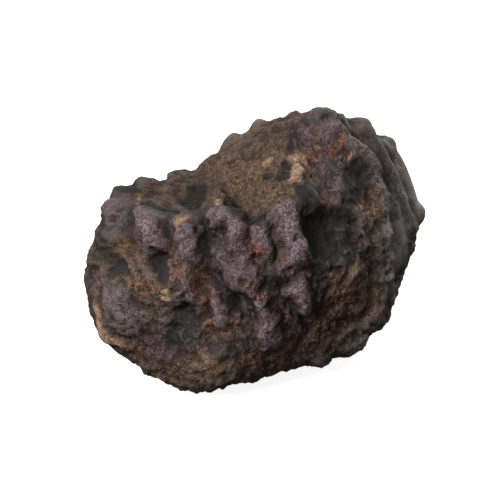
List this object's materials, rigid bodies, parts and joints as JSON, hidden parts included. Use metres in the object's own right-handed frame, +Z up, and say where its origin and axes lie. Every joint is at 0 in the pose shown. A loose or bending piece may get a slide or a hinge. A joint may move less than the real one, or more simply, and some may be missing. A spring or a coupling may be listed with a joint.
{
  "type": "meteorite",
  "caption": "Small dark brown stony meteorite with a smooth dark crust on its knobs and hollows and a rough brown top, resting on its flattest side.",
  "frame": {"origin": "under the middle of the stone, on the surface it stands on", "axes": "+X along the stone's length to the right seen from the front, +Y away from the front, +Z up"},
  "size_m": [0.0536, 0.0396, 0.0374],
  "materials": {
    "crust": "dark brown weathered fusion crust, satin to glossy on the knobs, with matt brown and rust-coloured worn patches"
  },
  "bodies": {
    "root": {"meteorite": "crust"}
  },
  "joints": []
}
